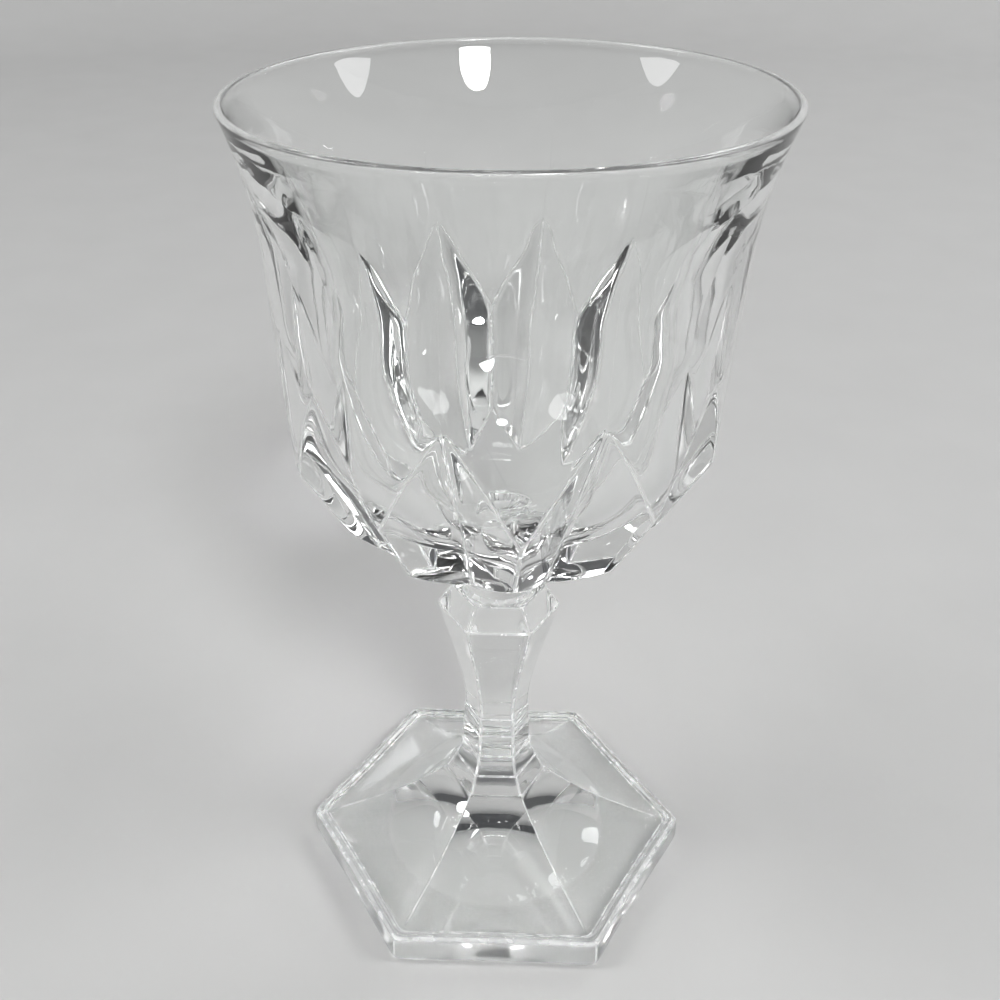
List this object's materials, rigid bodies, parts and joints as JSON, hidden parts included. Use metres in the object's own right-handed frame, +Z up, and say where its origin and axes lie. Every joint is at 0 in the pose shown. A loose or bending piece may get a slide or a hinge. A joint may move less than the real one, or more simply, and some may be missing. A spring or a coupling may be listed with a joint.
{
  "type": "wine goblet",
  "caption": "Stemmed wine goblet of clear cut glass: flared bowl with petal panels and mitre grooves, hexagonal stem, stepped collar and hexagonal foot.",
  "frame": {"origin": "centre of the flat face under the foot, on the goblet's axis", "axes": "+Z up the axis towards the rim, +X through a corner of the hexagonal foot, -Y through the middle of a foot side"},
  "size_m": [0.09, 0.09, 0.1564],
  "materials": {
    "clear_glass": "fire-polished, clear and colourless"
  },
  "bodies": {
    "root": {"bowl": "clear_glass", "merese": "clear_glass", "stem": "clear_glass", "collar": "clear_glass", "foot": "clear_glass"}
  },
  "joints": []
}
